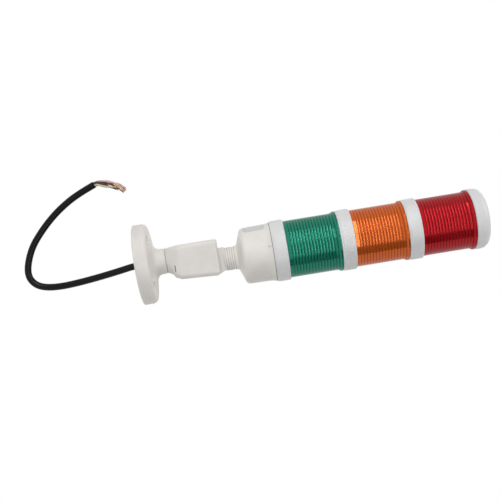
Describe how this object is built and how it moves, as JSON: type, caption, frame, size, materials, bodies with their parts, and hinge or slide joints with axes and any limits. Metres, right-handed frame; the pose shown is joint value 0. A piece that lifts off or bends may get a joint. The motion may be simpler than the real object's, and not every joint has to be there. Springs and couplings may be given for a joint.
{
  "type": "stack light",
  "caption": "Signal tower light: stacked green, orange and red lenses on a fold-down swivel base with a screw flange and a short supply cord.",
  "frame": {"origin": "centre of the base flange's mounting face", "axes": "+Z from the mounting face towards the cap, +X the way the lamp folds down, +Y across the fold pivot"},
  "size_m": [0.1142, 0.0702, 0.4051],
  "materials": {
    "base_white": "satin moulded white plastic",
    "cup_white": "satin moulded warm white plastic",
    "collar_white": "satin moulded cool white plastic",
    "lens_green": "clear tinted green plastic, ring prisms inside",
    "lens_orange": "clear tinted orange plastic, ring prisms inside",
    "lens_red": "clear tinted red plastic, ring prisms inside",
    "seal_rubber": "matt black rubber",
    "plated_steel": "zinc plated",
    "brass": "bright",
    "circuit_board": "white solder mask",
    "terminal_green": "moulded green plastic",
    "can_aluminium": "drawn can",
    "black_plastic": "moulded black plastic",
    "column_white": "white reflective plastic",
    "light_chip": "encapsulated chips",
    "cord_jacket": "satin black jacket",
    "core_black": "insulated wire",
    "core_brown": "insulated wire",
    "core_yellow": "insulated wire",
    "core_red": "insulated wire",
    "core_grey": "insulated wire"
  },
  "bodies": {
    "base": {"base_flange": "base_white", "cable_seal": "seal_rubber", "supply_cord": "cord_jacket", "core_black": "core_black", "core_brown": "core_brown", "core_yellow": "core_yellow", "core_red": "core_red", "core_grey": "core_grey"},
    "knuckle": {"knuckle_fork": "base_white", "swivel_washer": "plated_steel", "swivel_nut": "plated_steel", "hinge_screw": "plated_steel", "hinge_washer": "plated_steel", "hinge_insert": "brass"},
    "lamp": {"knuckle_tongue": "base_white", "lamp_cup": "cup_white", "module_base_green": "collar_white", "module_base_orange": "collar_white", "module_base_red": "collar_white", "top_cap": "collar_white", "lens_green": "lens_green", "lens_orange": "lens_orange", "lens_red": "lens_red", "seal_cap": "seal_rubber", "seal_green": "seal_rubber", "seal_orange": "seal_rubber", "seal_red": "seal_rubber", "neck_washer": "plated_steel", "neck_nut": "plated_steel", "board_screws": "plated_steel", "contact_blades_green": "brass", "contact_blades_orange": "brass", "contact_blades_red": "brass", "driver_board": "circuit_board", "led_board_green": "circuit_board", "led_board_orange": "circuit_board", "led_board_red": "circuit_board", "light_strips_green": "circuit_board", "light_strips_orange": "circuit_board", "light_strips_red": "circuit_board", "terminal_block": "terminal_green", "capacitors": "can_aluminium", "contact_socket": "black_plastic", "light_column_green": "column_white", "light_column_orange": "column_white", "light_column_red": "column_white", "light_chips_green": "light_chip", "light_chips_orange": "light_chip", "light_chips_red": "light_chip"}
  },
  "joints": [
    {"name": "swivel", "type": "hinge", "parent": "base", "child": "knuckle", "pos_m": [0, 0, 0.0247], "axis": [0, 0, 1], "range_deg": [-165, 165]},
    {"name": "fold", "type": "hinge", "parent": "knuckle", "child": "lamp", "pos_m": [0.007, 0, 0.06], "axis": [0, 1, 0], "range_deg": [0, 90]}
  ]
}
